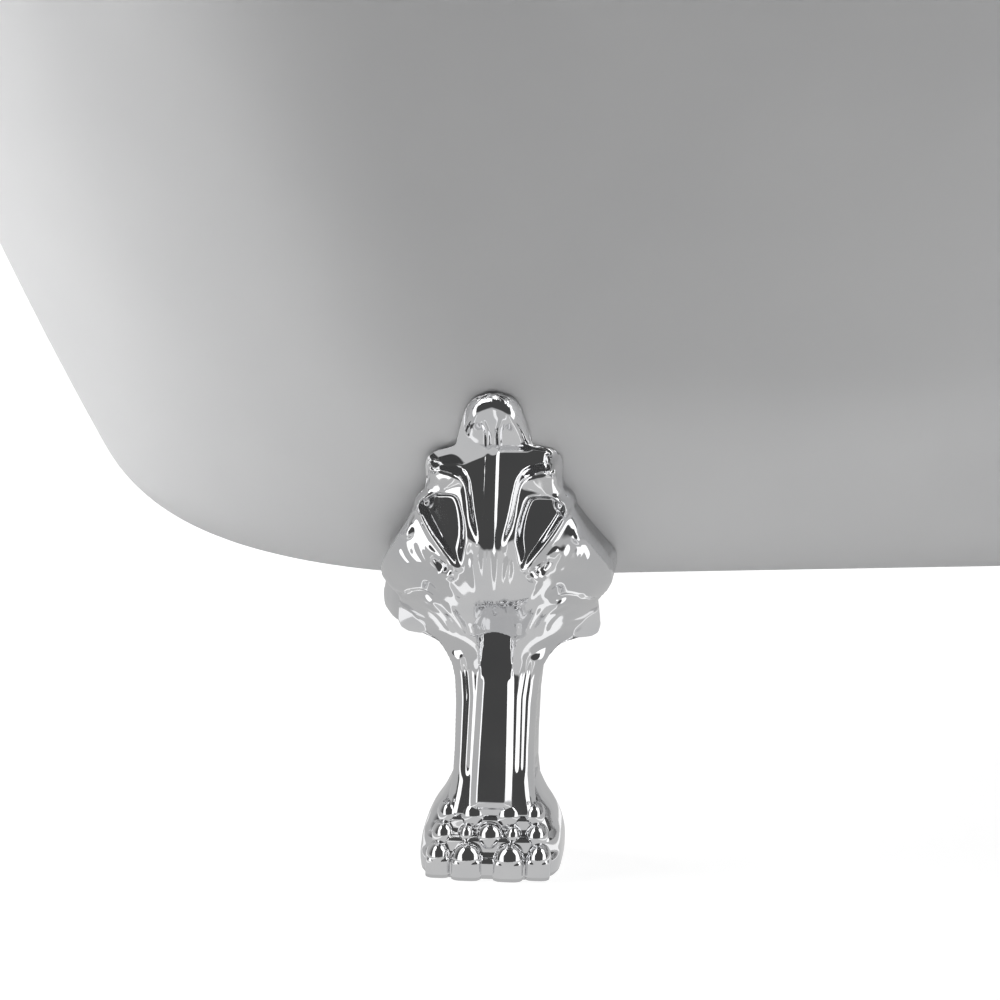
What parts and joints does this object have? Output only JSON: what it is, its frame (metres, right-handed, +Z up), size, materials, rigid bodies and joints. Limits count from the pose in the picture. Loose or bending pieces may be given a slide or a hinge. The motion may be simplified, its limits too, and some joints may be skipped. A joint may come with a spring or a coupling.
{
  "type": "clawfoot bathtub",
  "caption": "Roll-rim bathtub with one sloping end on lion's-paw feet with leaf brackets, with an exposed waste and overflow and a lift-and-turn stopper.",
  "frame": {"origin": "on the floor, under the middle of the rolled rim's length and width", "axes": "+X along the tub towards the tap end, +Y across it, +Z up; the near side in the picture is -Y"},
  "size_m": [1.7, 0.76, 0.6],
  "materials": {
    "enamelled_iron": "gloss enamel inside and over the rim, satin white paint outside",
    "foot_plating": "polished plating over a casting",
    "fitting_chrome": "polished",
    "brass": "turned",
    "steel": "zinc plated",
    "rubber": "matte"
  },
  "bodies": {
    "tub": {"drain_flange": "fitting_chrome", "drain_gasket": "rubber", "drain_shoe": "fitting_chrome", "foot_bolts": "steel", "foot_head_far": "foot_plating", "foot_head_near": "foot_plating", "foot_tap_far": "foot_plating", "foot_tap_near": "foot_plating", "foot_washers": "steel", "overflow_elbow": "fitting_chrome", "overflow_gasket": "rubber", "overflow_plate": "fitting_chrome", "overflow_screws": "fitting_chrome", "overflow_tube": "fitting_chrome", "slip_nuts": "fitting_chrome", "slip_washers": "rubber", "stopper_post": "brass", "tailpiece": "fitting_chrome", "tub_shell": "enamelled_iron", "waste_tee": "fitting_chrome", "waste_tube": "fitting_chrome"},
    "stopper_slider": {"stopper_sleeve": "brass"},
    "stopper": {"stopper_cap": "fitting_chrome", "stopper_seal": "rubber", "stopper_knob": "fitting_chrome"}
  },
  "joints": [
    {"name": "stopper_lift", "type": "slide", "parent": "tub", "child": "stopper_slider", "axis": [0, 0, 1], "range_m": [0, 0.009]},
    {"name": "stopper_turn", "type": "hinge", "parent": "stopper_slider", "child": "stopper", "pos_m": [0.56, 0, 0.137], "axis": [0, 0, 1], "range_deg": [0, 90]}
  ]
}
